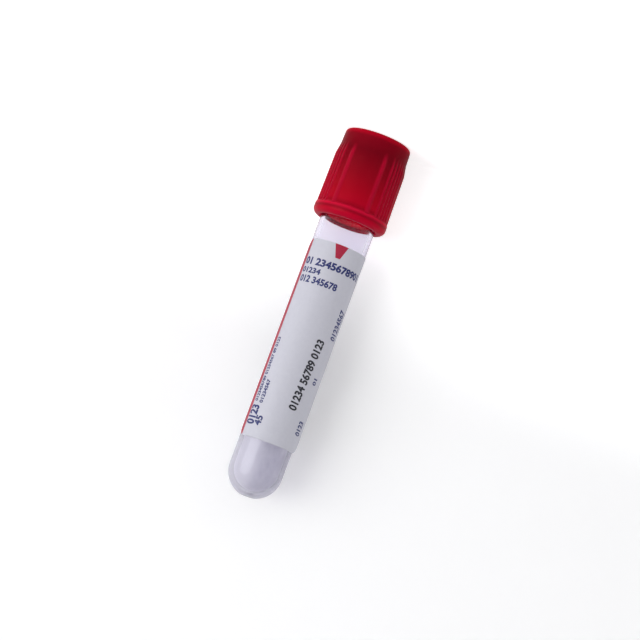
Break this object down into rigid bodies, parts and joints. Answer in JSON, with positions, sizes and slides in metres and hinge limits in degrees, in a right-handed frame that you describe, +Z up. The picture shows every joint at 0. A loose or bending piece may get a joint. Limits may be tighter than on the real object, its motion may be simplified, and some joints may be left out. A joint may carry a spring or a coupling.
{
  "type": "blood collection tube",
  "caption": "Clear round-bottomed blood collection tube with a paper label, closed by a rubber stopper in a ribbed red safety cap that pulls off.",
  "frame": {"origin": "the middle of the cap's top, on the surface that it stands on", "axes": "+Z up, along the tube's axis towards its round end; the label's middle faces -Y"},
  "size_m": [0.0164, 0.0164, 0.0821],
  "materials": {
    "clear_plastic": "clear, polished, faintly bluish",
    "label_paper": "coated, with dark blue, black and red print",
    "red_rubber": "smooth, dull",
    "red_plastic": "satin moulded"
  },
  "bodies": {
    "closure": {"rubber_stopper": "red_rubber", "safety_cap": "red_plastic"},
    "tube": {"clear_tube": "clear_plastic", "paper_label": "label_paper"}
  },
  "joints": [
    {"name": "closure_pull", "type": "slide", "parent": "closure", "child": "tube", "axis": [0, 0, 1], "range_m": [0, 0.025]}
  ]
}
